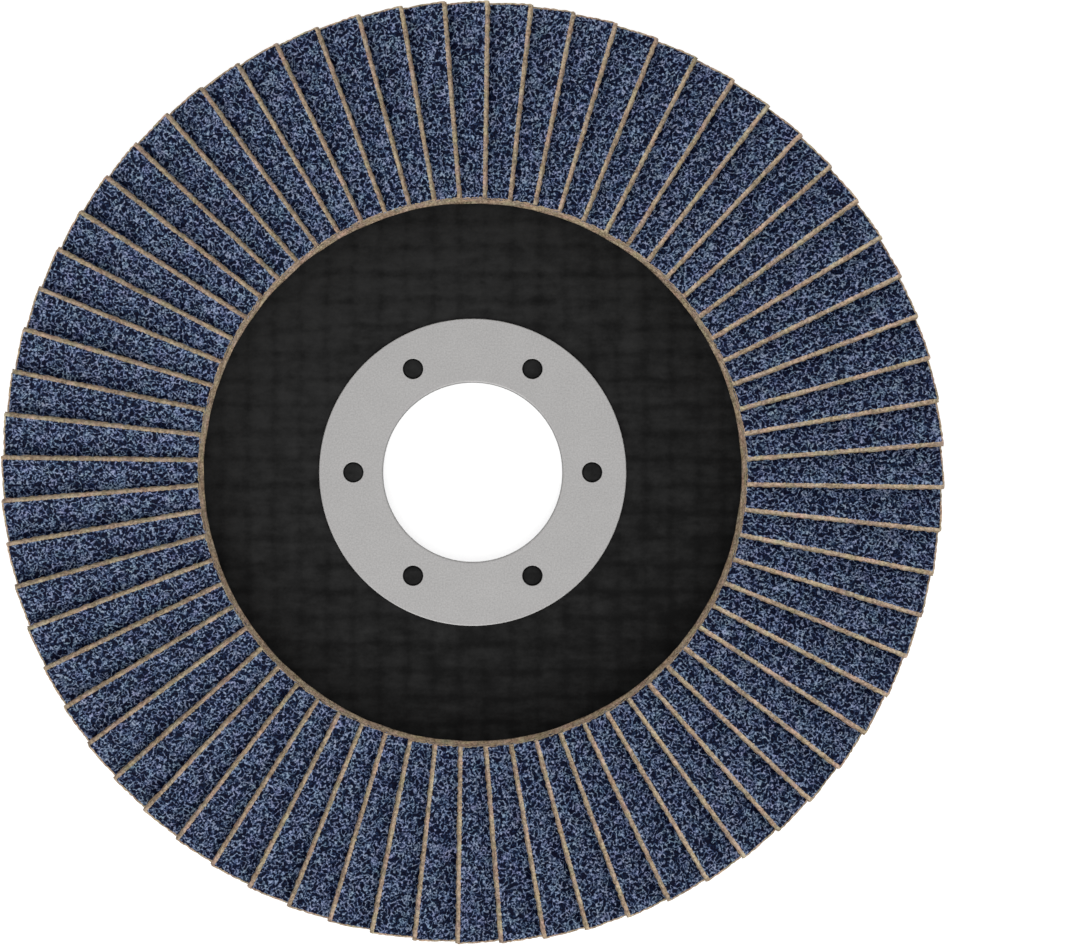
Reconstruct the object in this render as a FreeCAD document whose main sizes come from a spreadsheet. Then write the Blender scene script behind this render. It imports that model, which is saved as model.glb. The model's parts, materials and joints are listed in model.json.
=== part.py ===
import FreeCAD, Part
import Sketcher
import os

# Flap disc for an angle grinder, 115 mm, lying on its machine side with the abrasive face up.
# The origin is the centre of the bore in the rear face of the hub, and Z is the spindle axis.
# Every length is in millimetres and every angle in degrees.

doc = FreeCAD.newDocument("flap_disc")

# Driving dimensions

SIZES = (
    ("disc_diameter", 115.0, "over the tips of the flaps"),
    ("bore_diameter", 22.23, "steel bore that centres on the spindle flange"),
    ("hub_diameter", 46.0, "flat rear face of the hub"),
    ("hub_height", 1.3, "rear face of the hub to the back of the plate"),
    ("hub_taper", 3.0, "radial run of the slope round the hub"),
    ("plate_diameter", 109.0, "backing plate"),
    ("plate_thickness", 2.55, "backing plate outside the hub"),
    ("plate_bore", 22.9, "hole in the plate behind the steel collar"),
    ("rear_bevel", 0.8, "bevel of the rear rim of the plate"),
    ("front_bevel", 0.4, "bevel of the front rim of the plate"),
    ("ring_diameter", 38.0, "steel flange"),
    ("ring_thickness", 0.8, "steel flange"),
    ("ring_stand", 0.35, "steel flange above the front of the plate"),
    ("ring_bevel", 0.15, "outer edge of the steel flange"),
    ("collar_wall", 0.8, "steel collar that lines the bore"),
    ("collar_length", 2.6, "steel flange and collar together, along the bore"),
    ("lip_bevel", 0.18, "bevelled mouth of the bore"),
    ("hole_diameter", 2.5, "anchor holes in the steel flange"),
    ("hole_circle", 29.5, "circle through the anchor holes"),
    ("hole_count", 6, "anchor holes"),
    ("resin_sink", 0.2, "resin in the anchor holes below the face of the flange"),
    ("seat_gap", 0.05, "room between the steel and the resin round it"),
    ("bed_thickness", 0.5, "adhesive between the plate and the flaps"),
    ("bed_inset", 1.4, "inner edge of the adhesive behind the ends of the flaps"),
    ("bed_margin", 1.0, "outer edge of the adhesive inside the rim of the plate"),
    ("flap_count", 68, "flaps round the disc"),
    ("flap_bore", 67.0, "inner diameter of the ring of flaps"),
    ("flap_width", 15.0, "cloth of one flap from its exposed edge to its foot"),
    ("flap_thickness", 1.0, "cloth with its coat of grain"),
    ("flap_play", 0.03, "least gap between neighbouring flaps"),
    ("flap_allowance", 1.5, "cloth that the end cuts take off, at each end"),
    ("edge_offset", 1.0, "exposed edge of a flap clockwise of the radius beside it"),
    ("cut_offset", 0.6, "centre of the end cuts clockwise of the same radius"),
    ("first_angle", -0.79, "direction of the exposed edge of the first flap"),
)

# Flaps in one node, so that the whole ring stays within sixty nodes
FLAPS_PER_NODE = 2

# Turn of the sketch of the end cuts, so that its circles begin and end on the far side of the disc
HALF_TURN = FreeCAD.Placement(FreeCAD.Vector(), FreeCAD.Rotation(FreeCAD.Vector(0, 0, 1), 180))

sheet = doc.addObject("Spreadsheet::Sheet", "sizes")
for row, (alias, size, meaning) in enumerate(SIZES, 1):
    sheet.set(f"A{row}", alias)
    sheet.set(f"B{row}", str(size))
    sheet.set(f"C{row}", meaning)
    sheet.setAlias(f"B{row}", alias)
doc.recompute()


def number(expression):
    """Value of an expression on the sheet, as a plain number."""
    value = sheet.evalExpression(expression)
    return float(getattr(value, "Value", value))


# Heights above the rear face of the hub

PLATE_FRONT = "(sizes.hub_height + sizes.plate_thickness)"
RING_FACE = f"({PLATE_FRONT} + sizes.ring_stand)"
RING_BACK = f"({RING_FACE} - sizes.ring_thickness)"
COLLAR_END = f"({RING_FACE} - sizes.collar_length)"
BED_TOP = f"({PLATE_FRONT} + sizes.bed_thickness)"

# Radii

BORE_RADIUS = "(sizes.bore_diameter / 2)"
COLLAR_RADIUS = f"({BORE_RADIUS} + sizes.collar_wall)"
RING_RADIUS = "(sizes.ring_diameter / 2)"
PLATE_RADIUS = "(sizes.plate_diameter / 2)"
BED_INNER = "(sizes.flap_bore / 2 + sizes.bed_inset)"
BED_OUTER = f"({PLATE_RADIUS} - sizes.bed_margin)"
HOLE_RADIUS = "(sizes.hole_diameter / 2)"
FLAP_INNER = "(sizes.flap_bore / 2)"
FLAP_OUTER = "(sizes.disc_diameter / 2)"

# Lean of the flaps
#
# Neighbours come closest where their feet meet the inner end cut. The foot lies beside the radius
# by nearly the width of the cloth, so the arm on which the next flap is turned away from it there
# is the third side of a triangle with the inner radius. That arm times the angle from one flap to
# the next is the room for one thickness of cloth and the play, seen along the plate, and the lean
# turns it square to the cloth.

FLAP_ARM = f"sqrt({FLAP_INNER} ^ 2 - sizes.flap_width ^ 2)"
FLAP_SPACING = f"({FLAP_ARM} * 2 * pi / sizes.flap_count)"
FLAP_LEAN = f"asin((sizes.flap_thickness + sizes.flap_play) / {FLAP_SPACING})"
FLAP_HEIGHT = f"(sizes.flap_width * sin({FLAP_LEAN}))"
FLAP_FOOT = f"(sizes.flap_width * cos({FLAP_LEAN}))"


# Sketch helpers

def origin_feature(body, role):
    """Plane or axis of the body's own origin, such as XY_Plane or Z_Axis."""
    return next(item for item in body.Origin.OriginFeatures if item.Role == role)


def new_sketch(body, name, plane):
    """Empty sketch lying on one of the body's own origin planes."""
    sketch = body.newObject("Sketcher::SketchObject", name)
    sketch.AttachmentSupport = (origin_feature(body, plane), "")
    sketch.MapMode = "FlatFace"
    return sketch


def hold(sketch, kind, *arguments):
    """Constraint whose value follows the expression given last."""
    expression = arguments[-1]
    constraint = Sketcher.Constraint(kind, *arguments[:-1], number(expression))
    sketch.setExpression(f"Constraints[{sketch.addConstraint(constraint)}]", expression)


def draw_outline(sketch, corners):
    """Closed outline through the corners, each held by its two distances from the origin."""
    points = [FreeCAD.Vector(number(across), number(up), 0) for across, up in corners]
    following = points[1:] + points[:1]
    lines = [sketch.addGeometry(Part.LineSegment(*ends), False) for ends in zip(points, following)]
    for line, previous, (across, up) in zip(lines, lines[-1:] + lines[:-1], corners):
        sketch.addConstraint(Sketcher.Constraint("Coincident", previous, 2, line, 1))
        hold(sketch, "DistanceX", -1, 1, line, 1, across)
        hold(sketch, "DistanceY", -1, 1, line, 1, up)


def draw_circle(sketch, across, up, radius):
    """Circle held by its radius and the place of its centre."""
    centre = FreeCAD.Vector(number(across), number(up), 0)
    index = sketch.addGeometry(Part.Circle(centre, FreeCAD.Vector(0, 0, 1), number(radius)), False)
    hold(sketch, "Radius", index, radius)
    hold(sketch, "DistanceX", -1, 1, index, 3, across)
    hold(sketch, "DistanceY", -1, 1, index, 3, up)


# Feature helpers

def turned_body(name, corners):
    """Body turned about Z from an outline of radii and heights."""
    body = doc.addObject("PartDesign::Body", name)
    sketch = new_sketch(body, f"{name}_section", "XZ_Plane")
    draw_outline(sketch, corners)
    turning = body.newObject("PartDesign::Revolution", f"{name}_turning")
    turning.Profile = sketch
    turning.ReferenceAxis = (sketch, ["V_Axis"])
    turning.Angle = 360
    doc.recompute()
    return body


def edges_at(feature, radius, height):
    """Names of the circular edges that have this radius and height."""
    names = []
    for index, edge in enumerate(feature.Shape.Edges, 1):
        if not isinstance(edge.Curve, Part.Circle):
            continue
        off_radius = abs(edge.Curve.Radius - number(radius))
        off_height = abs(edge.Curve.Center.z - number(height))
        if max(off_radius, off_height) < 1e-5:
            names.append(f"Edge{index}")
    return names


def bevel_edge(body, name, radius, height, size):
    """Chamfer on the circular edge of this radius and height."""
    base = body.Tip
    bevel = body.newObject("PartDesign::Chamfer", name)
    bevel.Base = (base, edges_at(base, radius, height))
    bevel.setExpression("Size", size)
    doc.recompute()


def repeat_round(body, feature, name):
    """Copies of a feature at every anchor hole round the Z axis."""
    pattern = body.newObject("PartDesign::PolarPattern", name)
    pattern.Originals = [feature]
    pattern.Axis = (origin_feature(body, "Z_Axis"), [""])
    pattern.Angle = 360
    pattern.setExpression("Occurrences", "sizes.hole_count")
    body.Tip = pattern
    doc.recompute()


def lift(sketch, height):
    """Raise a sketch on a horizontal plane to this height."""
    sketch.setExpression("AttachmentOffset.Base.z", height)


# Backing plate: glass-fibre cloth in resin, flat in front, with a tapered hub behind.
# Resin has risen through the anchor holes of the steel flange as six low studs.

def make_backing_plate():
    body = turned_body("backing_plate", (
        ("sizes.plate_bore / 2", "0"),
        ("sizes.hub_diameter / 2", "0"),
        ("sizes.hub_diameter / 2 + sizes.hub_taper", "sizes.hub_height"),
        (PLATE_RADIUS, "sizes.hub_height"),
        (PLATE_RADIUS, PLATE_FRONT),
        (f"{RING_RADIUS} + sizes.seat_gap", PLATE_FRONT),
        (f"{RING_RADIUS} + sizes.seat_gap", RING_BACK),
        (f"{COLLAR_RADIUS} + sizes.seat_gap", RING_BACK),
        (f"{COLLAR_RADIUS} + sizes.seat_gap", COLLAR_END),
        ("sizes.plate_bore / 2", COLLAR_END),
    ))
    bevel_edge(body, "rear_rim_bevel", PLATE_RADIUS, "sizes.hub_height", "sizes.rear_bevel")
    bevel_edge(body, "front_rim_bevel", PLATE_RADIUS, PLATE_FRONT, "sizes.front_bevel")
    sketch = new_sketch(body, "resin_stud_circle", "XY_Plane")
    lift(sketch, RING_BACK)
    draw_circle(sketch, "sizes.hole_circle / 2", "0", f"{HOLE_RADIUS} - sizes.seat_gap")
    stud = body.newObject("PartDesign::Pad", "resin_stud")
    stud.Profile = sketch
    stud.setExpression("Length", "sizes.ring_thickness - sizes.resin_sink")
    doc.recompute()
    repeat_round(body, stud, "resin_studs")
    return body


# Steel ring: a stamped flange with a collar through the bore and six anchor holes

def make_hub_ring():
    body = turned_body("hub_ring", (
        (BORE_RADIUS, COLLAR_END),
        (COLLAR_RADIUS, COLLAR_END),
        (COLLAR_RADIUS, RING_BACK),
        (RING_RADIUS, RING_BACK),
        (RING_RADIUS, RING_FACE),
        (BORE_RADIUS, RING_FACE),
    ))
    bevel_edge(body, "bore_lip", BORE_RADIUS, RING_FACE, "sizes.lip_bevel")
    bevel_edge(body, "flange_bevel", RING_RADIUS, RING_FACE, "sizes.ring_bevel")
    sketch = new_sketch(body, "anchor_hole_circle", "XY_Plane")
    lift(sketch, COLLAR_END)
    draw_circle(sketch, "sizes.hole_circle / 2", "0", HOLE_RADIUS)
    hole = body.newObject("PartDesign::Pocket", "anchor_hole")
    hole.Profile = sketch
    hole.Reversed = True
    hole.setExpression("Length", "2 * sizes.collar_length")
    doc.recompute()
    repeat_round(body, hole, "anchor_holes")
    return body


# Adhesive bed: a flat layer of resin that holds the feet of the flaps

def make_adhesive_bed():
    return turned_body("adhesive_bed", (
        (BED_INNER, PLATE_FRONT),
        (BED_OUTER, PLATE_FRONT),
        (BED_OUTER, BED_TOP),
        (BED_INNER, BED_TOP),
    ))


# Flap: a strip of abrasive cloth that leans on its neighbour. Its exposed edge is cut square to the
# cloth and lies level, so that the disc has a flat face, and its foot is flat on the adhesive. Both
# ends are trimmed to the round of the disc, from a centre a little off the axis, which gives the
# rim and the inner wall their fine saw teeth. Towards the rim the flaps fan out and the gaps widen.

def make_flap_form():
    body = doc.addObject("PartDesign::Body", "flap_form")
    section = new_sketch(body, "flap_section", "YZ_Plane")
    section.setExpression("AttachmentOffset.Base.x", "-sizes.edge_offset")
    section.setExpression("AttachmentOffset.Base.y", BED_TOP)
    section.setExpression("AttachmentOffset.Base.z", f"{FLAP_ARM} - sizes.flap_allowance")
    square_across = f"sizes.flap_thickness * sin({FLAP_LEAN})"
    square_down = f"sizes.flap_thickness * cos({FLAP_LEAN})"
    draw_outline(section, (
        ("0", FLAP_HEIGHT),
        (f"-{square_across}", f"{FLAP_HEIGHT} - {square_down}"),
        (f"{FLAP_FOOT} - sizes.flap_thickness / sin({FLAP_LEAN})", "0"),
        (FLAP_FOOT, "0"),
    ))
    cloth = body.newObject("PartDesign::Pad", "cloth_strip")
    cloth.Profile = section
    cloth.setExpression("Length", f"{FLAP_OUTER} - {FLAP_ARM} + 2 * sizes.flap_allowance")
    doc.recompute()
    circles = new_sketch(body, "end_cut_circles", "XY_Plane")
    circles.AttachmentOffset = HALF_TURN
    for radius in (FLAP_INNER, FLAP_OUTER, f"{FLAP_OUTER} + sizes.flap_width"):
        draw_circle(circles, "0", "sizes.cut_offset", radius)
    cuts = body.newObject("PartDesign::Pocket", "end_cuts")
    cuts.Profile = circles
    cuts.Reversed = True
    cuts.setExpression("Length", f"{BED_TOP} + sizes.flap_width")
    doc.recompute()
    return body


def flap_copy(form, name, steps):
    """The same flap, turned round the disc by this many steps."""
    copy = doc.addObject("App::Link", name)
    copy.LinkedObject = form
    copy.LinkTransform = True
    turn_round(copy, f"{steps} * 360 deg / sizes.flap_count")
    return copy


def turn_round(item, angle):
    """Turn an object about Z by an angle that follows the sheet."""
    item.Placement = FreeCAD.Placement(
        FreeCAD.Vector(), FreeCAD.Rotation(FreeCAD.Vector(0, 0, 1), number(angle)))
    item.setExpression("Placement.Rotation.Angle", angle)


def make_flap_groups(form):
    """The ring of flaps, a few neighbours to a node."""
    neighbours = [form]
    for step in range(1, FLAPS_PER_NODE):
        neighbours.append(flap_copy(form, f"neighbour_{step}", step))
    flap_count = round(number("sizes.flap_count"))
    groups = []
    for group_number, first in enumerate(range(0, flap_count, FLAPS_PER_NODE), 1):
        group = doc.addObject("Part::Compound", f"flap_pair_{group_number:02d}")
        group.Links = neighbours[:flap_count - first]
        turn_round(group, f"sizes.first_angle * 1 deg + {first} * 360 deg / sizes.flap_count")
        groups.append(group)
    return groups


# Assembly

plate = make_backing_plate()
ring = make_hub_ring()
bed = make_adhesive_bed()
flap_groups = make_flap_groups(make_flap_form())
sub_parts = [plate, ring, bed] + flap_groups
doc.recompute()

# Every feature and every sub-part has to be sound before anything is written

for item in doc.Objects:
    if {"Invalid", "Error"} & set(item.State):
        raise RuntimeError(f"{item.Label} failed: {item.State}")
for item in sub_parts:
    if item.Shape.isNull() or not item.Shape.isValid():
        raise RuntimeError(f"{item.Label} has no valid shape")

os.makedirs("parts", exist_ok=True)
for item in sub_parts:
    item.Shape.exportStep(f"parts/{item.Label}.step")

whole = Part.makeCompound([item.Shape for item in sub_parts])
print(f"{len(sub_parts)} nodes, {len(whole.Solids)} solids, {whole.Volume / 1000:.2f} cm3")
print(f"flaps lean {number(FLAP_LEAN):.2f} degrees")
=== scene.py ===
import json
import math

import bmesh
import bpy
import numpy as np
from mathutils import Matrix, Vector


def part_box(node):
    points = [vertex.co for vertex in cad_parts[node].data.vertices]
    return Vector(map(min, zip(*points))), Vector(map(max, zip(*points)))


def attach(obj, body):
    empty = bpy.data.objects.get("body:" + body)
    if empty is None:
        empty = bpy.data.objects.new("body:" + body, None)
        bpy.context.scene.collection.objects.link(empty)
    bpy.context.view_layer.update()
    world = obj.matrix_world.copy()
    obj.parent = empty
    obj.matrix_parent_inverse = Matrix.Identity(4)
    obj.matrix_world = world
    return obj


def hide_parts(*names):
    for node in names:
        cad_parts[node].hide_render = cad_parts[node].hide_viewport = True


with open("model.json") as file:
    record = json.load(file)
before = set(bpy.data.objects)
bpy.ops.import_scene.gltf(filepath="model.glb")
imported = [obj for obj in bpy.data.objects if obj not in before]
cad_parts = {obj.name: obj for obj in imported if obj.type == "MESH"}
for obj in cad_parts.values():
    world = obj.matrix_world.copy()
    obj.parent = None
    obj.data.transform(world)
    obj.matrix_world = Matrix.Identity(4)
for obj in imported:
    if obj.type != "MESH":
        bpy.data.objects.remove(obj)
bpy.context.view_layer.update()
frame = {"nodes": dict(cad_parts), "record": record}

# Flap disc for an angle grinder, lying on its machine side with the abrasive face up. Z is the
# spindle axis and every length is in metres. The fixed model gives the places and main sizes, and
# this file adds the surfaces and finishes: grain-coated cloth flaps with frayed cut edges, a
# backing plate of glass cloth in black resin, a blanked steel ring and a lumpy bead of adhesive.

bl_info = {
    "name": "Flap disc",
    "version": (1, 0, 0),
    "blender": (4, 5, 0),
    "location": "3D Viewport > Sidebar > Flap disc",
    "description": "Surfaces and finishes of a flap disc",
    "category": "Add Mesh",
}

MM = 0.001

# Places and sizes that the fixed model holds

RING_LOW, RING_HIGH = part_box("hub_ring")
PLATE_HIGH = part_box("backing_plate")[1]
BED_LOW, BED_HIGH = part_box("adhesive_bed")
MOUNTS = {mount["name"]: mount for mount in frame["record"]["mounts"]}
FLAP_NODES = sorted(name for name in frame["nodes"] if name.startswith("flap_pair_"))
FLAP_HIGHS = [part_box(name)[1] for name in FLAP_NODES]
FLAPS_PER_NODE = 2
FLAP_COUNT = FLAPS_PER_NODE * len(FLAP_NODES)

BORE_RADIUS = MOUNTS["spindle_bore"]["dims"]["r_mm"] * MM
RING_RADIUS = RING_HIGH.x
RING_FACE = RING_HIGH.z
COLLAR_END = RING_LOW.z
PLATE_RADIUS = PLATE_HIGH.x
STUD_TOP = PLATE_HIGH.z
PLATE_FRONT = BED_LOW.z
BED_TOP = BED_HIGH.z
BED_OUTER = BED_HIGH.x
RIDGE = FLAP_HIGHS[0].z
RIM_RADIUS = min(max(high[axis] for high in FLAP_HIGHS) for axis in (0, 1))


# Settings

def length(name, description, millimetres):
    """A length setting, given in millimetres and kept in metres."""
    return bpy.props.FloatProperty(
        name=name, description=description, default=millimetres * MM, unit="LENGTH", precision=5)


def colour(name, description, red, green, blue):
    """A colour setting, in linear light."""
    return bpy.props.FloatVectorProperty(
        name=name, description=description, default=(red, green, blue), subtype="COLOR", size=3)


class DiscSizes(bpy.types.PropertyGroup):
    ring_thickness: length("Ring thickness", "Steel flange", 0.8)
    collar_wall: length("Collar wall", "Steel collar that lines the bore", 0.8)
    lip_round: length("Lip round", "Round of the mouth of the bore", 0.22)
    ring_round: length("Ring round", "Round of the outer edge of the flange", 0.15)
    hole_diameter: length("Hole diameter", "Anchor holes in the flange", 2.5)
    hole_circle: length("Hole circle", "Circle through the anchor holes", 29.5)
    hole_count: bpy.props.IntProperty(
        name="Holes", description="Number of anchor holes in the flange", default=6)
    seat_gap: length("Seat gap", "Room between the steel and the resin round it", 0.05)
    hub_diameter: length("Hub diameter", "Flat rear face of the hub", 46)
    hub_height: length("Hub height", "Rear face of the hub to the back of the plate", 1.3)
    hub_taper: length("Hub taper", "Radial run of the slope round the hub", 3)
    plate_bore: length("Plate bore", "Hole in the plate behind the collar", 22.9)
    rear_bevel: length("Rear bevel", "Rear rim of the plate", 0.8)
    front_bevel: length("Front bevel", "Front rim of the plate", 0.4)
    weave_spacing: length("Weave spacing", "Grooves of the glass cloth, centre to centre", 3.275)
    weave_relief: length("Weave relief", "Depth of the grooves in the resin", 0.05)
    bed_inset: length("Bed inset", "Inner edge of the adhesive behind the ends of the flaps", 1.4)
    flap_bore: length("Flap bore", "Inner diameter of the ring of flaps", 67)
    flap_width: length("Flap width", "Cloth from the exposed edge to the foot", 15)
    flap_thickness: length("Flap thickness", "Cloth with its coat of grain", 1)
    edge_offset: length("Edge offset", "Exposed edge clockwise of the radius beside it", 1)
    cut_offset: length("Cut offset", "Centre of the end cuts clockwise of the same radius", 0.6)
    first_angle: bpy.props.FloatProperty(
        name="First angle", description="Direction of the exposed edge of the first flap",
        default=math.radians(-0.79), unit="ROTATION")
    bare_edge: length("Bare edge", "Cloth left bare beside the exposed edge", 0.29)
    bare_rim: length("Bare rim", "Cloth left bare at the rim", 0.17)
    bare_inner: length("Bare inner end", "Cloth left bare at the inner end", 0.05)
    edge_round: length("Edge wear", "Drop of the rounded exposed edge below the bare cloth", 0.3)
    fray: length("Fray", "Unevenness of the cloth's cut edges", 0.12)
    coat_height: length("Coat height", "Grain coat above the bare cloth", 0.16)
    grain_relief: length("Grain relief", "Valleys between the heaped grains", 0.14)
    grain_length: length("Grain length", "Crest to crest of the heaped grains", 0.85)


class DiscColours(bpy.types.PropertyGroup):
    # Grain colours: painted shade in the hollows and on the shaded flanks, painted highlights on
    # the lit facets and glints; the middle tone is the grain's own.
    grain_hollow_shade: colour("Grain, dark", "Hollows between the grains", 0.0, 0.0008, 0.0115)
    grain_shade: colour("Grain, shaded", "Flanks of the grains in shade", 0.007, 0.0175, 0.052)
    grain_middle: colour("Grain, middle", "Flanks of the grains", 0.027, 0.0465, 0.1)
    grain_light: colour("Grain, light", "Lit facets of the grains", 0.149, 0.193, 0.301)
    grain_glint: colour("Grain, glint", "Brightest facets of the grains", 0.29, 0.35, 0.49)
    cloth: colour("Cloth", "Cut edges of the cloth", 0.62, 0.483, 0.345)
    cloth_shade: colour("Cloth, shaded", "Hollows between the cut threads", 0.172, 0.124, 0.082)
    resin: colour("Resin", "Black resin of the plate", 0.0015, 0.0015, 0.0015)
    yarn: colour("Yarn", "Glass yarns under the resin", 0.022, 0.022, 0.022)
    steel: colour("Steel", "Zinc-coated steel", 0.413, 0.406, 0.402)
    adhesive: colour("Adhesive", "Cured bead round the feet of the flaps", 0.035, 0.028, 0.02)


class DiscStage(bpy.types.PropertyGroup):
    camera_height: bpy.props.FloatProperty(
        name="Camera height", description="Camera above the ridges of the flaps",
        default=0.42, unit="LENGTH")
    picture_width: length("Picture width", "What the picture's width spans at the ridges", 131.23)
    sky: bpy.props.FloatProperty(name="Sky", description="Strength of the even light", default=0.86)
    key: bpy.props.FloatProperty(
        name="Key", description="Power of the soft key lamp", default=2.6, unit="POWER")
    key_size: bpy.props.FloatProperty(
        name="Key size", description="Diameter of the key lamp", default=0.7, unit="LENGTH")
    key_place: bpy.props.FloatVectorProperty(
        name="Key place", description="Centre of the key lamp, which faces the disc",
        default=(-0.11, -0.68, 0.59), subtype="TRANSLATION", size=3)
    floor: colour("Floor", "Plain pale floor", 0.82, 0.82, 0.82)
    floor_lift: bpy.props.FloatProperty(
        name="Floor lift", description="White added to the floor that the camera sees", default=0.6)
    floor_reach: bpy.props.FloatProperty(
        name="Floor reach", description="Centre to the edges of the floor",
        default=2.0, unit="LENGTH")


# Size of the photograph and the bore's centre in it, in its own pixels

PICTURE_WIDE = 1077
PICTURE_HIGH = 948
DISC_CENTRE = (472.7, 472.3)


# Shader maths

class Field:
    """A number that varies over a surface. Arithmetic on it adds Math nodes."""

    def __init__(self, graph, socket):
        self.graph = graph
        self.socket = socket

    def maths(self, operation, *others):
        """What a Math node makes of this number and the others."""
        inputs = dict(enumerate((self, *others)))
        return self.graph.field("ShaderNodeMath", {"operation": operation}, inputs)

    def __add__(self, other):
        return self.maths("ADD", other)

    def __sub__(self, other):
        return self.maths("SUBTRACT", other)

    def __rsub__(self, other):
        return self.graph.field("ShaderNodeMath", {"operation": "SUBTRACT"}, {0: other, 1: self})

    def __mul__(self, other):
        return self.maths("MULTIPLY", other)

    def __truediv__(self, other):
        return self.maths("DIVIDE", other)

    def __neg__(self):
        return self.maths("MULTIPLY", -1)

    def __abs__(self):
        return self.maths("ABSOLUTE")

    __radd__ = __add__

    def cosine(self):
        return self.maths("COSINE")

    def higher(self, other):
        return self.maths("MAXIMUM", other)

    def step(self, low, high):
        """0 below low, 1 above high and a smooth rise between them."""
        settings = {"interpolation_type": "SMOOTHSTEP"}
        return self.graph.field("ShaderNodeMapRange", settings, {0: self, 1: low, 2: high})


class Graph:
    """The nodes of one material or of the world."""

    def __init__(self, owner):
        owner.use_nodes = True
        self.tree = owner.node_tree
        self.tree.nodes.clear()

    def add(self, kind, settings=None, inputs=None):
        """A node of this type: its settings first, then the values or links of its sockets."""
        node = self.tree.nodes.new(kind)
        for name, value in (settings or {}).items():
            if name == "stops":
                fill_ramp(node.color_ramp, value)
            else:
                setattr(node, name, value)
        for name, value in (inputs or {}).items():
            if isinstance(value, Field):
                value = value.socket
            if isinstance(value, bpy.types.NodeSocket):
                self.tree.links.new(value, node.inputs[name])
            else:
                node.inputs[name].default_value = value
        return node

    def field(self, kind, settings=None, inputs=None, output=0):
        """A node's output as a number to reckon with."""
        return Field(self, self.add(kind, settings, inputs).outputs[output])

    def position(self):
        """Place on the object, in metres, as its X, Y and Z."""
        return self.add("ShaderNodeTexCoord").outputs["Object"]

    def axis(self, place, number):
        """One coordinate of a place: number 0, 1 or 2 for its X, Y or Z."""
        return self.field("ShaderNodeSeparateXYZ", {}, {0: place}, number)

    def vector(self, operation, *vectors):
        """What a Vector Math node makes of these vectors."""
        inputs = dict(enumerate(vectors))
        return self.add("ShaderNodeVectorMath", {"operation": operation}, inputs).outputs[0]

    def noise(self, place, spacing, detail=2.0, roughness=0.5, distortion=0.0):
        """Cloudy pattern whose clouds lie about this far apart, round 0.5."""
        inputs = {"Vector": place, "Scale": 1 / spacing, "Detail": detail,
                  "Roughness": roughness, "Distortion": distortion}
        return self.field("ShaderNodeTexNoise", {}, inputs)

    def three_noises(self, place, spacing, detail):
        """Vector of three cloudy patterns that don't follow one another, each round 0.5."""
        inputs = {"Vector": place, "Scale": 1 / spacing, "Detail": detail}
        return self.add("ShaderNodeTexNoise", {}, inputs).outputs["Color"]

    def patchy(self, tint, place, spacing, spread):
        """The same colour with its red, green and blue each made a little stronger or weaker by
        clouds of their own, so that its hue and its brightness both vary."""
        clouds = self.three_noises(place, spacing, 1.0)
        gain = self.vector("MULTIPLY_ADD", clouds, (spread,) * 3, (1 - spread / 2,) * 3)
        return self.vector("MULTIPLY", tint, gain)

    def mix(self, factor, first, second):
        """Colour between two colours."""
        colours = {6: four(first), 7: four(second), 0: factor}
        return self.add("ShaderNodeMix", {"data_type": "RGBA"}, colours).outputs[2]

    def bump(self, height, distance, strength):
        """Normal that follows a height from 0 to 1 over this many metres."""
        inputs = {"Height": height, "Distance": distance, "Strength": strength}
        return self.add("ShaderNodeBump", {}, inputs).outputs[0]

    def finish(self, **inputs):
        """Principled surface with these sockets, joined to the output."""
        sockets = {name.replace("_", " "): value for name, value in inputs.items()}
        surface = self.add("ShaderNodeBsdfPrincipled", {}, sockets)
        self.add("ShaderNodeOutputMaterial", {}, {"Surface": surface.outputs[0]})


def four(value):
    """A colour setting with its alpha, or a socket as it is."""
    if isinstance(value, bpy.types.NodeSocket):
        return value
    return (*value[:3], 1.0)


def fill_ramp(ramp, stops):
    """Colour ramp with a stop at each place."""
    while len(ramp.elements) < len(stops):
        ramp.elements.new(0.5)
    for element, (place, value) in zip(ramp.elements, stops):
        element.position = place
        element.color = four(value)


# Finishes

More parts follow.
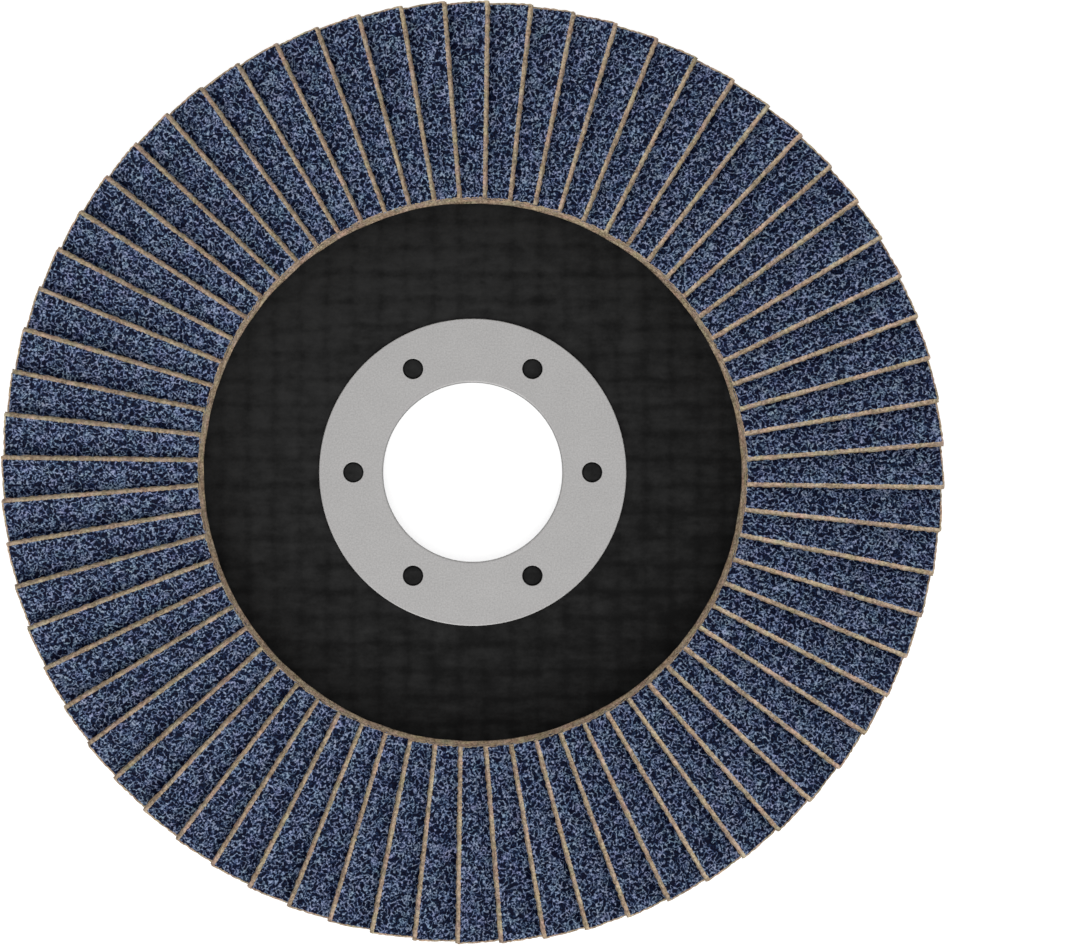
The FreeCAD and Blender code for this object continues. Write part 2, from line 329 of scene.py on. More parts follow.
def flap_finish():
    """Heaped blue grain on tan cloth. The coat's edge follows the mesh's own distance to it, in
    millimetres, frayed by noise. Grain: painted light and shade; the level lines of a cloudy
    pattern are painted highlights on its facets, so they wind about like worms between hollows
    of painted shade. Cloth: threads side by side along the cut, with paler and darker patches,
    painted shade low on the cut edge, and darker towards the foot, partly from adhesive drawn
    into it and partly painted shade where the flaps meet the plate."""
    coat_fray = 0.22
    steepness = 8.6
    thread_spacing = 0.5
    shade_from, shade_to = 0.5, 1.2
    foot_dark_height, foot_dark_fray = 2.0, 1.5
    tints = bpy.context.scene.disc_colours
    graph = Graph(bpy.data.materials.new("grain_on_cloth"))
    place = graph.position()
    coat = graph.field("ShaderNodeAttribute", {"attribute_name": "coat"}, {}, "Fac")
    fray = graph.noise(place, 0.22 * MM, detail=1.0)
    covered = (coat + (fray - 0.5) * coat_fray).step(-0.02, 0.03)

    clouds = graph.noise(place, 0.65 * MM, detail=1.5, roughness=0.6, distortion=0.25)
    worms = 1 - (abs(clouds - 0.5) * steepness).step(0.0, 1.0)
    grit = graph.noise(place, 0.28 * MM, detail=1.0, roughness=0.6)
    facets = worms * 0.66 + grit.step(0.36, 0.68) * 0.42
    # Painted light and shade on the grain: the tone ramp runs from painted shade in the hollows to
    # painted highlights and glints on the facets.
    tone = graph.add("ShaderNodeValToRGB", {"stops": (
        (0.2, tints.grain_hollow_shade), (0.43, tints.grain_shade), (0.57, tints.grain_middle),
        (0.85, tints.grain_light), (1.0, tints.grain_glint))}, {0: facets})

    lengthwise = graph.axis(graph.add("ShaderNodeUVMap").outputs[0], 0)
    threads = (lengthwise * (math.tau / thread_spacing)).cosine() * 0.5 + 0.5
    fuzz = graph.noise(place, 0.35 * MM, detail=2.0, roughness=0.7)
    patches = graph.noise(place, 2.2 * MM, detail=2.0, roughness=0.6)
    nap = threads * 0.12 + fuzz.step(0.34, 0.66) * 0.6 + patches.step(0.34, 0.66) * 0.28
    # Painted shade: the cloth darkens low on the cut edge, the further below the coat the darker.
    nap = nap * (1 - (-coat).step(shade_from, shade_to) * 0.5)
    above_foot = (graph.axis(place, 2) - BED_TOP) / MM
    # Stain and painted shade: the cloth darkens towards the adhesive's colour near the foot, partly
    # from adhesive drawn into the cloth and partly as painted shade where the flaps meet the plate.
    foot_stain_and_shade = 1 - (above_foot + (fuzz - 0.5) * foot_dark_fray).step(0.0, foot_dark_height)
    cloth_clear_of_foot = graph.mix(nap, tints.cloth_shade, tints.cloth)
    cloth = graph.mix(foot_stain_and_shade * 0.9, cloth_clear_of_foot, tints.adhesive)

    even = graph.mix(covered, cloth, tone.outputs[0])
    height = covered * facets + (1 - covered) * nap
    graph.finish(
        Base_Color=graph.patchy(even, place, 1.6 * MM, spread=0.34),
        Roughness=0.95 - covered * 0.3,
        Specular_IOR_Level=0.1,
        Normal=graph.bump(height, 0.1 * MM, 0.6),
    )
    return bpy.data.materials["grain_on_cloth"]


def plate_finish():
    """Glass cloth under black resin. The cloth shows as pale pillows with dark grooves between
    them, where the resin lies thick; the grooves wander a little, and the resin has clouds and
    streaks. Painted light: the colour grows lighter towards the upper left of the disc (-X, +Y),
    as though a lamp lit that side."""
    sway = 1.2 * MM
    streak_stretch = (0.3, 1, 1)
    # Painted light: direction and rate of the lightening towards the upper left of the disc.
    lit_side_x, lit_side_y = -0.62, 0.79
    painted_light_rate = 0.09 / (26 * MM)
    tints = bpy.context.scene.disc_colours
    groove = math.pi / bpy.context.scene.disc_sizes.weave_spacing
    graph = Graph(bpy.data.materials.new("resin_glass_cloth"))
    place = graph.position()
    wander = graph.three_noises(place, 5 * MM, 2.0)
    bent = graph.vector("MULTIPLY_ADD", wander, (sway, sway, sway), place)
    columns, rows = (
        abs(((graph.axis(bent, number) - sway / 2) * groove).cosine()).step(0.0, 0.8)
        for number in (0, 1))
    clouds = graph.noise(place, 2.4 * MM, detail=3.0, roughness=0.65)
    stretched = graph.vector("MULTIPLY", place, streak_stretch)
    streaks = graph.noise(stretched, 0.8 * MM, detail=2.0, roughness=0.6)
    dust = graph.noise(place, 0.3 * MM, detail=2.0, roughness=0.6)
    height = columns * 0.08 + rows * 0.11 + clouds * 0.62 + streaks * 0.34 + dust * 0.12
    # Painted light: the plate's colour grows lighter towards the upper left of the disc.
    painted_light = (graph.axis(place, 0) * lit_side_x + graph.axis(place, 1) * lit_side_y) * painted_light_rate
    graph.finish(
        Base_Color=graph.mix((height + painted_light).step(0.37, 1.09), tints.resin, tints.yarn),
        Roughness=0.55 + clouds * 0.12,
        Specular_IOR_Level=0.1,
        Normal=graph.bump(height, 0.15 * MM, 0.5),
    )
    return bpy.data.materials["resin_glass_cloth"]


def steel_finish():
    """Satin zinc coat on rolled sheet: very fine grain, and faint cloudy spangle."""
    spread = 0.18
    tints = bpy.context.scene.disc_colours
    graph = Graph(bpy.data.materials.new("satin_zinc_steel"))
    place = graph.position()
    spangle = graph.noise(place, 4 * MM, detail=2.0)
    fine = graph.noise(place, 0.2 * MM, detail=3.0, roughness=0.75)
    tone = spangle * 0.1 + fine * 0.9
    dull = tuple((1 - spread) * part for part in tints.steel)
    bright = tuple((1 + spread) * part for part in tints.steel)
    graph.finish(
        Base_Color=graph.mix(tone.step(0.25, 0.75), dull, bright),
        Metallic=1.0,
        Roughness=0.42 + fine * 0.16,
        Normal=graph.bump(fine, 0.01 * MM, 0.35),
    )
    return bpy.data.materials["satin_zinc_steel"]


def adhesive_finish():
    """Cured resin adhesive, dark brown with a dull gloss."""
    tints = bpy.context.scene.disc_colours
    graph = Graph(bpy.data.materials.new("cured_adhesive"))
    place = graph.position()
    lumps = graph.noise(place, 1.1 * MM, detail=3.0, roughness=0.6)
    dull = tuple(0.6 * part for part in tints.adhesive)
    graph.finish(
        Base_Color=graph.mix(lumps.step(0.3, 0.7), dull, tints.adhesive),
        Roughness=0.35 + lumps * 0.3,
        Specular_IOR_Level=0.4,
        Normal=graph.bump(lumps, 0.15 * MM, 0.5),
    )
    return bpy.data.materials["cured_adhesive"]


# Surfaces

TINY = 0.001 * MM
WELD = 0.0005 * MM
CREASE = math.radians(48)


def lattice_faces(corner):
    """Squares of a lattice, from the numbers of its corners in rows and columns."""
    square = (corner[:-1, :-1], corner[1:, :-1], corner[1:, 1:], corner[:-1, 1:])
    return np.stack(square, -1).reshape(-1, 4)


def zip_faces(fine, coarse, step):
    """Triangles between a row of corners and a coarser row, which faces it at these steps."""
    facing = np.searchsorted(step, np.arange(len(fine)))
    faces = [(fine[k], fine[k + 1], coarse[facing[k + 1]]) for k in range(len(fine) - 1)]
    for k in np.flatnonzero(np.diff(facing)):
        faces.append((fine[k], coarse[facing[k + 1]], coarse[facing[k]]))
    return faces


def make_piece(name, sheets, finish, slot, *nodes):
    """Closed piece from sheets of points. Each sheet is a tuple of places (points, 3), flat
    coordinates (points, 2) in millimetres, distances inside the coat in millimetres, and faces.
    Sheets are joined where their borders meet, and faces are turned outwards."""
    places, flats, coats = (np.concatenate([part[k] for part in sheets]) for k in range(3))
    faces, start = [], 0
    for place, _, _, corners in sheets:
        faces += [[start + corner for corner in face] for face in corners]
        start += len(place)
    mesh = bpy.data.meshes.new(name)
    mesh.from_pydata(places.tolist(), [], faces)
    around = np.array([corner for face in faces for corner in face])
    flat_layer = mesh.uv_layers.new(name="flat")
    flat_layer.data.foreach_set("uv", flats[around].astype(np.float32).ravel())
    coat_layer = mesh.attributes.new("coat", "FLOAT", "POINT")
    coat_layer.data.foreach_set("value", coats.astype(np.float32))
    join = bmesh.new()
    join.from_mesh(mesh)
    loose = [corner for corner in join.verts if not corner.link_faces]
    bmesh.ops.delete(join, geom=loose, context="VERTS")
    bmesh.ops.remove_doubles(join, verts=join.verts, dist=WELD)
    bmesh.ops.recalc_face_normals(join, faces=join.faces)
    open_edges = sum(1 for edge in join.edges if len(edge.link_faces) != 2)
    join.to_mesh(mesh)
    join.free()
    if open_edges:
        raise RuntimeError(f"{name} is open or pinched at {open_edges} edges")
    mesh.shade_smooth()
    mesh.set_sharp_from_angle(angle=CREASE)
    mesh.materials.append(finish)
    piece = bpy.data.objects.new(name, mesh)
    bpy.context.scene.collection.objects.link(piece)
    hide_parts(*nodes)
    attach(piece, "root")


def sheet(place, flat=None, coat=-1.0, zipped=None):
    """Lattice of places (rows, columns, 3) as a sheet. Where zipped is given, the last row keeps
    only the columns that it names, and a row of triangles leads to them."""
    rows, columns = place.shape[:2]
    flat = np.zeros((rows, columns, 2)) if flat is None else flat
    coat = np.broadcast_to(coat, (rows, columns)).ravel()
    corner = np.arange(rows * columns).reshape(rows, columns)
    if zipped is None:
        faces = lattice_faces(corner).tolist()
    else:
        faces = lattice_faces(corner[:-1]).tolist()
        faces += zip_faces(corner[-2], corner[-1, zipped], zipped)
    return place.reshape(-1, 3), flat.reshape(-1, 2), coat, faces


def turned(profile, angles):
    """Surface of revolution: each radius and height of a profile goes round the Z axis."""
    radii, heights = profile[:, :1], profile[:, 1:]
    return np.stack([radii * np.cos(angles), radii * np.sin(angles), heights + 0 * angles], -1)


def whole_turn(profile, steps):
    """Surface of revolution that goes all the way round and ends exactly where it starts."""
    place = turned(profile, np.linspace(0, math.tau, steps + 1))
    place[:, -1] = place[:, 0]
    return place


def turn_about_z(place, angle):
    """The same places, turned about the Z axis."""
    sine, cosine = math.sin(angle), math.cos(angle)
    return place @ np.array([[cosine, sine, 0], [-sine, cosine, 0], [0, 0, 1]])


def line(start, end, spacing):
    """Evenly spaced points from one end to the other of a straight run of a profile."""
    start, end = np.array(start, float), np.array(end, float)
    steps = max(1, round(float(np.linalg.norm(end - start)) / spacing))
    return start + np.linspace(0, 1, steps + 1)[:, None] * (end - start)


def rounded(corner, before, after, radius, steps=5):
    """Quarter-round points at a corner of a profile: the corner pulled towards its neighbours,
    along a curve that leaves each side at the same distance from the corner."""
    corner, before, after = (np.array(point, float) for point in (corner, before, after))
    first = corner + (before - corner) / np.linalg.norm(before - corner) * radius
    last = corner + (after - corner) / np.linalg.norm(after - corner) * radius
    share = np.linspace(0, 1, steps)[:, None]
    return (1 - share) ** 2 * first + 2 * share * (1 - share) * corner + share ** 2 * last


def ripples(places, spacing, seed, count=28):
    """Sum of plane waves of one length in random directions, with mean 0 and variance 1. Its crests
    wind about, as heaped grains do."""
    chance = np.random.default_rng(seed)
    directions = chance.normal(size=(count, 3))
    directions /= np.linalg.norm(directions, axis=1, keepdims=True)
    phases = chance.uniform(0, math.tau, count)
    waves = np.cos(places @ directions.T * (math.tau / spacing) + phases)
    return waves.sum(-1) * math.sqrt(2 / count)


def lumpy(places, spacing, seed):
    """Lumps and hollows with broad tops and floors, from 0 to 1."""
    return 0.5 - 0.5 * np.tanh(ripples(places, spacing, seed))


# Flaps

def flap_lean():
    """Angle between a flap and the disc: the sine is its height over its width."""
    return math.asin((RIDGE - BED_TOP) / bpy.context.scene.disc_sizes.flap_width)


def flap_place(along, across, depth, seed):
    """Place in a flap that lies beside the X axis, and how far it lies inside the coat of grain.
    The place comes from three shares: along the flap from the inner cut to the rim, across it from
    the exposed edge to the foot, and down through the cloth. The section is a strip with a level
    foot, and the ends lie on circles about a centre a little off the axis."""
    coat_slope = 0.1 * MM
    relief_depth = 0.6
    frayed_band = 0.3 * MM
    tuft_spacing = 0.8 * MM
    sizes = bpy.context.scene.disc_sizes
    lean = flap_lean()
    sine, cosine = math.sin(lean), math.cos(lean)
    thick = sizes.flap_thickness
    width = sizes.flap_width
    top_y = -sizes.edge_offset + across * width * cosine
    top_z = RIDGE - across * width * sine
    edge_y = -sizes.edge_offset - thick * sine
    foot_y = -sizes.edge_offset + width * cosine - thick / sine
    under_y = edge_y + across * (foot_y - edge_y)
    under_z = RIDGE - thick * cosine + across * (BED_TOP - RIDGE + thick * cosine)
    y = top_y + depth * (under_y - top_y)
    z = top_z + depth * (under_z - top_z)
    inner = np.sqrt((sizes.flap_bore / 2) ** 2 - (y + sizes.cut_offset) ** 2)
    outer = np.sqrt(RIM_RADIUS ** 2 - (y + sizes.cut_offset) ** 2)
    x = inner + along * (outer - inner)
    place = np.stack(np.broadcast_arrays(x, y, z), -1)

    from_rim, from_inner, from_edge = outer - x, x - inner, across * width
    coat = np.minimum(from_edge - sizes.bare_edge,
                      np.minimum(from_rim - sizes.bare_rim, from_inner - sizes.bare_inner))
    bare = np.clip(0.5 - coat / coat_slope, 0, 1)
    valleys = sizes.grain_relief * lumpy(place, sizes.grain_length, seed)
    worn = sizes.edge_round * np.clip(1 - from_edge / sizes.bare_edge, 0, 1) ** 2
    sunk = bare * sizes.coat_height + (1 - bare) * valleys + worn
    down = sunk * np.clip(1 - depth / relief_depth, 0, 1)
    tufts = 1 - lumpy(place, tuft_spacing, seed + 1)
    set_back = sizes.fray * tufts * np.clip(1 - from_edge / frayed_band, 0, 1)
    cut_back = sizes.fray * (tufts * tufts - 0.65) * np.clip(1 - from_rim / frayed_band, 0, 1)
    stick_out = sizes.fray * (tufts - 0.6) * np.clip(1 - from_inner / frayed_band, 0, 1)
    place[..., 0] -= cut_back + stick_out
    place[..., 1] += set_back * cosine - down * sine
    place[..., 2] -= set_back * sine + down * cosine
    return place, coat


def flap_sheets(seed, angle):
    """The six sides of one flap, turned round the disc by this angle. The side in view has the
    finest lattice as far as the next flap covers it, and the underside the coarsest."""
    cells_along = 117
    cell_across = 0.22 * MM
    in_view_width = 6 * MM
    sizes = bpy.context.scene.disc_sizes
    span = RIM_RADIUS - sizes.flap_bore / 2
    bare = sizes.bare_edge
    near_ends = np.array([0.1 * MM, span - 0.3 * MM, span - 0.15 * MM]) / span
    along = np.unique(np.concatenate([near_ends, np.linspace(0, 1, cells_along + 1)]))
    edge = [0, 0.12 * MM, bare - 0.04 * MM, bare + 0.04 * MM]
    in_view = np.arange(bare + 0.14 * MM, in_view_width, cell_across)
    covered = [6.4 * MM, 7.4 * MM, 9.5 * MM, sizes.flap_width]
    across = np.concatenate([edge, in_view, covered]) / sizes.flap_width
    under = np.array([0, 1, 8, 18, len(across) - 1])
    depth = np.array([0, 0.13, 0.25, 0.6, 1.0])
    rows, columns = along[:, None], across[None, :]
    sides = (
        (rows, columns, 0.0, None),
        (rows, columns[:, under], 1.0, None),
        (rows, 0.0, depth[None, :], None),
        (rows, 1.0, depth[None, :], None),
        (0.0, columns, depth[:, None], under),
        (1.0, columns, depth[:, None], under),
    )
    sheets = []
    for lengthwise, sideways, downwards, zipped in sides:
        place, coat = flap_place(*np.broadcast_arrays(lengthwise, sideways, downwards), seed)
        if zipped is None:
            first = lengthwise * span
            second = sideways * sizes.flap_width - downwards * sizes.flap_thickness
        else:
            first = sideways * sizes.flap_width
            second = downwards * sizes.flap_thickness
        flat = np.stack(np.broadcast_arrays(first, second), -1) / MM
        on_top = np.broadcast_to(downwards, place.shape[:2]) == 0
        beyond = bare + sizes.flap_thickness * downwards * np.equal(sideways, 0)
        coat = np.where(on_top, coat, -beyond) / MM
        sheets.append(sheet(turn_about_z(place, angle), flat, coat, zipped))
    return sheets


class DISC_OT_flaps(bpy.types.Operator):
    """Abrasive flaps: strips of cloth with a relief of heaped grain and frayed cut edges"""
    bl_idname = "flap_disc.flaps"
    bl_label = "Flaps"

    def execute(self, context):
        first_seed = 100
        finish = flap_finish()
        first = context.scene.disc_sizes.first_angle
        for pair, node in enumerate(FLAP_NODES):
            sheets = []
            for flap in range(FLAPS_PER_NODE * pair, FLAPS_PER_NODE * (pair + 1)):
                sheets += flap_sheets(first_seed + 2 * flap, first + flap * math.tau / FLAP_COUNT)
            make_piece(f"flaps_{pair + 1:02d}", sheets, finish, "abrasive_cloth", node)
        return {"FINISHED"}


# Backing plate

def groove_depth(x, y, spacing):
    """Depth from 0 to 1 of the grooves between the pillows of the glass cloth, both ways."""
    across = 1 - np.abs(np.cos(x * math.pi / spacing))
    along = 1 - np.abs(np.cos(y * math.pi / spacing))
    return np.maximum(across, along) ** 2


def plate_profile():
    """Radii and heights round the plate's section, from the front beside the steel flange outwards
    over the rim, in over the back and the hub, and up the bore to the seat of the flange."""
    sizes = bpy.context.scene.disc_sizes
    seat = RING_RADIUS + sizes.seat_gap
    socket = BORE_RADIUS + sizes.collar_wall + sizes.seat_gap
    seat_floor = RING_FACE - sizes.ring_thickness
    hub = sizes.hub_diameter / 2
    bore = sizes.plate_bore / 2
    back = sizes.hub_height
    front_edge = (PLATE_RADIUS, PLATE_FRONT)
    back_edge = (PLATE_RADIUS, back)
    seen = sizes.flap_bore / 2 + 2 * MM
    runs = [
        line((seat, PLATE_FRONT), (seen, PLATE_FRONT), 0.4 * MM),
        line((seen, PLATE_FRONT), (PLATE_RADIUS - sizes.front_bevel, PLATE_FRONT), 2 * MM),
        rounded(front_edge, (seat, PLATE_FRONT), back_edge, sizes.front_bevel),
        rounded(back_edge, front_edge, (hub, back), sizes.rear_bevel, 7),
        line((PLATE_RADIUS - sizes.rear_bevel, back), (hub + sizes.hub_taper, back), 0.6 * MM),
        line((hub + sizes.hub_taper, back), (hub, 0), 0.4 * MM),
        line((hub, 0), (bore, 0), 0.5 * MM),
        line((bore, 0), (bore, COLLAR_END), 0.5 * MM),
        line((socket, COLLAR_END), (socket, seat_floor), 0.5 * MM),
        line((seat, seat_floor), (seat, PLATE_FRONT), 0.3 * MM),
    ]
    points = np.concatenate(runs)
    apart = np.linalg.norm(np.diff(points, axis=0, append=points[:1]), axis=1)
    return points[apart > TINY]


class DISC_OT_plate(bpy.types.Operator):
    """Backing plate: glass cloth in resin, with the relief of its weave and studs in the ring"""
    bl_idname = "flap_disc.plate"
    bl_label = "Backing plate"

    def execute(self, context):
        steps_round = 432
        smooth_margin, fade_width = 0.3 * MM, 0.8 * MM
        sizes = context.scene.disc_sizes
        profile = plate_profile()
        profile = np.concatenate([profile, profile[:1]])
        place = whole_turn(profile, steps_round)
        radii, heights = profile[:, 0], profile[:, 1]
        front = np.abs(heights - PLATE_FRONT) < TINY
        back = np.abs(heights - sizes.hub_height) < TINY
        inside = np.where(front, RING_RADIUS, sizes.hub_diameter / 2 + sizes.hub_taper)
        clear = np.minimum(radii - inside, PLATE_RADIUS - radii)
        fade = np.clip((clear - smooth_margin) / fade_width, 0, 1)
        inwards = np.where(front, -1.0, np.where(back, 1.0, 0.0)) * fade
        grooves = groove_depth(place[..., 0], place[..., 1], sizes.weave_spacing)
        relief = 0.6 * grooves + 0.4 * lumpy(place, 5 * MM, 3)
        place[..., 2] += inwards[:, None] * sizes.weave_relief * relief
        sheets = [sheet(place)]
        for hole in range(sizes.hole_count):
            sheets.append(sheet(stud(hole * math.tau / sizes.hole_count)))
        make_piece("glass_cloth_plate", sheets, plate_finish(), "resin_cloth", "backing_plate")
        return {"FINISHED"}


def stud(angle):
    """Resin that rose into an anchor hole: a round post with an uneven, softly rounded top, turned
    from a half section, its two poles closed."""
    buried = 0.1 * MM
    shoulder_round = 0.25 * MM
    unevenness = 0.04 * MM
    sizes = bpy.context.scene.disc_sizes
    radius = sizes.hole_diameter / 2 - sizes.seat_gap
    foot = RING_FACE - sizes.ring_thickness - buried
    shoulder = rounded((radius, STUD_TOP), (radius, foot), (0, STUD_TOP), shoulder_round)
    across = line((0.75 * radius, STUD_TOP), (0, STUD_TOP), 0.2 * MM)
    profile = np.concatenate([[(0, foot)], [(radius, foot)], shoulder, across])
    place = whole_turn(profile, 32)
    sunk = unevenness * lumpy(place, 0.8 * MM, round(1000 * angle))
    place[..., 2] -= np.where(place[..., 2] > foot, sunk, 0)
    place[..., 0] += sizes.hole_circle / 2 * math.cos(angle)
    place[..., 1] += sizes.hole_circle / 2 * math.sin(angle)
    return place


# Steel ring

def at_height(flat, height):
    """Flat points, lifted to this height."""
    return np.concatenate([flat, np.full((*flat.shape[:-1], 1), height)], -1)


def holed_face(hole_radius, inner, outer, height, arc_steps):
    """One sector of a flat ring round its hole, as a lattice from the edge of the hole out to the
    border of the sector. Its first and last rows are narrow, so that the rounds beside it don't
    shade the flat."""
    border, hole = sector_border(hole_radius, inner, outer, arc_steps)
    share = np.array([0, 0.008, 0.25, 0.5, 0.75, 0.992, 1])[:, None, None]
    return at_height(hole + share * (border - hole), height)


def sector_border(hole_radius, inner, outer, arc_steps):
    """Points round a sector's border, and the points of the hole's edge that face them."""
    steps_across = 12
    sizes = bpy.context.scene.disc_sizes
    half = math.pi / sizes.hole_count
    sweep = np.linspace(-half, half, arc_steps + 1)
    across = np.linspace(0, 1, steps_across + 1)[:, None]
    corner = np.array([math.cos(half), math.sin(half)])
    corner_out, corner_in = outer * corner, inner * corner
    mirror = np.array([1, -1])
    arc_out = outer * np.stack([np.cos(sweep), np.sin(sweep)], -1)
    arc_in = inner * np.stack([np.cos(sweep), np.sin(sweep)], -1)[::-1]
    side_in = corner_out + across * (corner_in - corner_out)
    side_out = (corner_in + across * (corner_out - corner_in)) * mirror
    border = np.concatenate([arc_out[:-1], side_in[:-1], arc_in[:-1], side_out])
    centre = np.array([sizes.hole_circle / 2, 0])
    ray = border - centre
    hole = centre + hole_radius * ray / np.linalg.norm(ray, axis=1, keepdims=True)
    return border, hole


def ring_sector(arc_steps):
    """Front, back and hole wall of the sector of the flange whose hole lies on the X axis. The
    hole's front edge is rounded a little."""
    edge_round = 0.05 * MM
    sizes = bpy.context.scene.disc_sizes
    radius = sizes.hole_diameter / 2
    back_height = RING_FACE - sizes.ring_thickness
    front_rims = (BORE_RADIUS + sizes.lip_round, RING_RADIUS - sizes.ring_round)
    back_rims = (BORE_RADIUS + sizes.collar_wall, RING_RADIUS)
    front = holed_face(radius + edge_round, *front_rims, RING_FACE, arc_steps)
    back = holed_face(radius, *back_rims, back_height, arc_steps)
    _, mouth = sector_border(radius, *front_rims, arc_steps)
    _, heel = sector_border(radius, *back_rims, arc_steps)
    centre = np.array([sizes.hole_circle / 2, 0])
    wall = [
        at_height(centre + (edge - centre) * (1 + wider / radius), height)
        for edge, wider, height in (
            (mouth, edge_round, RING_FACE),
            (mouth, 0.3 * edge_round, RING_FACE - 0.3 * edge_round),
            (mouth, 0, RING_FACE - edge_round),
            (heel, 0, back_height))]
    return front, back, np.array(wall)


class DISC_OT_ring(bpy.types.Operator):
    """Steel ring: a blanked flange with rounded edges and anchor holes, and the bore's collar"""
    bl_idname = "flap_disc.ring"
    bl_label = "Steel ring"

    def execute(self, context):
        arc_steps = 24
        collar_round = 0.1 * MM
        sizes = context.scene.disc_sizes
        back = RING_FACE - sizes.ring_thickness
        collar = BORE_RADIUS + sizes.collar_wall
        sheets = []
        for hole in range(sizes.hole_count):
            angle = hole * math.tau / sizes.hole_count
            sheets += [sheet(turn_about_z(side, angle)) for side in ring_sector(arc_steps)]
        outer_front, outer_back = (RING_RADIUS, RING_FACE), (RING_RADIUS, back)
        mouth, end = (BORE_RADIUS, RING_FACE), (BORE_RADIUS, COLLAR_END)
        outside = np.concatenate([
            rounded(outer_front, (0, RING_FACE), outer_back, sizes.ring_round),
            [outer_back]])
        inside = np.concatenate([
            rounded(mouth, outer_front, end, sizes.lip_round, 7),
            rounded(end, mouth, (collar, COLLAR_END), collar_round),
            [(collar, COLLAR_END)], [(collar, back)]])
        half = math.pi / sizes.hole_count
        angles = np.linspace(-half, math.tau - half, sizes.hole_count * arc_steps + 1)
        for profile in (outside, inside):
            sheets.append(sheet(turned(profile, angles)))
        make_piece("steel_ring", sheets, steel_finish(), "zinc_steel", "hub_ring")
        return {"FINISHED"}


# Adhesive

class DISC_OT_adhesive(bpy.types.Operator):
    """Adhesive bead: a layer of cured resin with lumpy, rounded edges under the flaps' feet"""
    bl_idname = "flap_disc.adhesive"
    bl_label = "Adhesive"

    def execute(self, context):
        steps_round = 360
        sharp, soft = 0.05 * MM, 0.2 * MM
        flat_margin = 1 * MM
        waviness, wavy_width = 0.35 * MM, 0.6 * MM
        sizes = context.scene.disc_sizes
        low, high = PLATE_FRONT, BED_TOP
        inner, outer = sizes.flap_bore / 2 + sizes.bed_inset, BED_OUTER
        profile = np.concatenate([
            rounded((outer, low), (inner, low), (outer, high), sharp, 3),
            rounded((outer, high), (outer, low), (inner, high), soft),
            line((outer - flat_margin, high), (inner + flat_margin, high), 3 * MM),
            rounded((inner, high), (outer, high), (inner, low), soft),
            rounded((inner, low), (inner, high), (outer, low), sharp, 3)])
        profile = np.concatenate([profile, profile[:1]])
        place = whole_turn(profile, steps_round)
        radii = profile[:, 0]
        to_middle = np.where(radii > (inner + outer) / 2, -1, 1)
        at_edge = np.exp(-np.minimum(outer - radii, radii - inner) / wavy_width)
        pull = (to_middle * waviness * at_edge)[:, None] * lumpy(place, 4 * MM, 7)
        out = place[..., :2] / np.linalg.norm(place[..., :2], axis=-1, keepdims=True)
        place[..., :2] += pull[..., None] * out
        make_piece("adhesive_bead", [sheet(place)], adhesive_finish(), "adhesive", "adhesive_bed")
        return {"FINISHED"}


# Stage

class DISC_OT_stage(bpy.types.Operator):
    """Plain pale floor, even light, a soft key lamp and the camera straight above the disc"""
    bl_idname = "flap_disc.stage"
    bl_label = "Stage"

    def execute(self, context):
        stage = context.scene.disc_stage
        make_floor(stage)
        make_light(context.scene, stage)
        make_camera(context.scene, stage)
        context.scene.view_settings.view_transform = "Standard"
        return {"FINISHED"}


def make_floor(stage):
    """Large level floor, lifted to white where the camera sees it, apart from its shadows."""
    reach = stage.floor_reach
    mesh = bpy.data.meshes.new("floor")
    corners = [(-reach, -reach, 0), (reach, -reach, 0), (reach, reach, 0), (-reach, reach, 0)]
    mesh.from_pydata(corners, [], [(0, 1, 2, 3)])
    floor = bpy.data.objects.new("floor", mesh)
    bpy.context.scene.collection.objects.link(floor)
    graph = Graph(bpy.data.materials.new("pale_floor"))
    seen = graph.field("ShaderNodeLightPath", {}, {}, "Is Camera Ray")
    matt = graph.add("ShaderNodeBsdfDiffuse", {}, {"Color": four(stage.floor)})
    lift = {"Color": (1, 1, 1, 1), "Strength": seen * stage.floor_lift}
    glow = graph.add("ShaderNodeEmission", {}, lift)
    both = graph.add("ShaderNodeAddShader", {}, {0: matt.outputs[0], 1: glow.outputs[0]})
    graph.add("ShaderNodeOutputMaterial", {}, {"Surface": both.outputs[0]})
    mesh.materials.append(bpy.data.materials["pale_floor"])


def make_light(scene, stage):
    """Even sky, white where the camera or a reflection sees it, and one broad lamp on the -Y side
    of the disc."""
    world = bpy.data.worlds.new("studio")
    scene.world = world
    graph = Graph(world)
    paths = graph.add("ShaderNodeLightPath").outputs
    seen = Field(graph, paths["Is Camera Ray"]).higher(Field(graph, paths["Is Glossy Ray"]))
    strength = stage.sky + seen * (1 - stage.sky)
    sky = graph.add("ShaderNodeBackground", {}, {"Color": (1, 1, 1, 1), "Strength": strength})
    graph.add("ShaderNodeOutputWorld", {}, {"Surface": sky.outputs[0]})
    lamp = bpy.data.lights.new("key", "AREA")
    lamp.shape = "DISK"
    lamp.size = stage.key_size
    lamp.energy = stage.key
    key = bpy.data.objects.new("key", lamp)
    key.location = stage.key_place
    key.rotation_euler = (-key.location).to_track_quat("-Z", "Y").to_euler()
    scene.collection.objects.link(key)


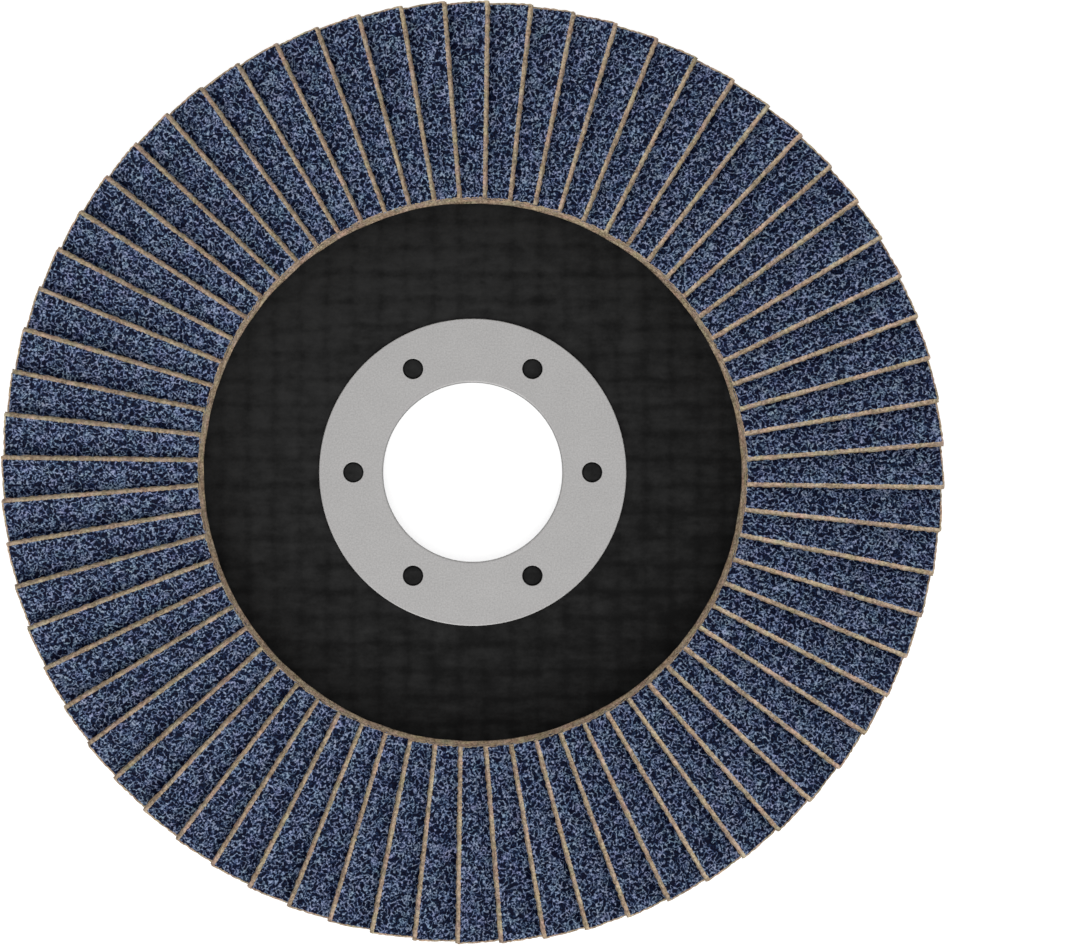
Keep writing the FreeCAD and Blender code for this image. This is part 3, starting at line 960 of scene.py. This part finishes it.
def make_camera(scene, stage):
    """Camera straight above the bore. Its lens takes in the picture's width at the ridges, and its
    shift puts the disc's centre where the photograph has it."""
    camera = bpy.data.cameras.new("camera")
    camera.sensor_width = 36
    camera.lens = camera.sensor_width * stage.camera_height / stage.picture_width
    camera.shift_x = (PICTURE_WIDE / 2 - DISC_CENTRE[0]) / PICTURE_WIDE
    camera.shift_y = (DISC_CENTRE[1] - PICTURE_HIGH / 2) / PICTURE_WIDE
    camera.clip_start = 0.01
    seat = bpy.data.objects.new("camera", camera)
    seat.location = (0, 0, RIDGE + stage.camera_height)
    scene.collection.objects.link(seat)
    scene.camera = seat


# Panel and registration

PIECES = (DISC_OT_ring, DISC_OT_plate, DISC_OT_adhesive, DISC_OT_flaps, DISC_OT_stage)
SETTINGS = (("disc_sizes", DiscSizes), ("disc_colours", DiscColours), ("disc_stage", DiscStage))


class DISC_PT_panel(bpy.types.Panel):
    """Pieces and settings of the flap disc"""
    bl_label = "Flap disc"
    bl_idname = "DISC_PT_panel"
    bl_space_type = "VIEW_3D"
    bl_region_type = "UI"
    bl_category = "Flap disc"

    def draw(self, context):
        for piece in PIECES:
            self.layout.operator(piece.bl_idname)
        for name, group in SETTINGS:
            box = self.layout.box()
            for setting in group.__annotations__:
                box.prop(getattr(context.scene, name), setting)


def register():
    for name, group in SETTINGS:
        bpy.utils.register_class(group)
        setattr(bpy.types.Scene, name, bpy.props.PointerProperty(type=group))
    for piece in PIECES:
        bpy.utils.register_class(piece)
    bpy.utils.register_class(DISC_PT_panel)


def unregister():
    bpy.utils.unregister_class(DISC_PT_panel)
    for piece in reversed(PIECES):
        bpy.utils.unregister_class(piece)
    for name, group in reversed(SETTINGS):
        delattr(bpy.types.Scene, name)
        bpy.utils.unregister_class(group)


def main():
    register()
    bpy.ops.flap_disc.ring()
    bpy.ops.flap_disc.plate()
    bpy.ops.flap_disc.adhesive()
    bpy.ops.flap_disc.flaps()
    bpy.ops.flap_disc.stage()


if __name__ == "__main__":
    main()
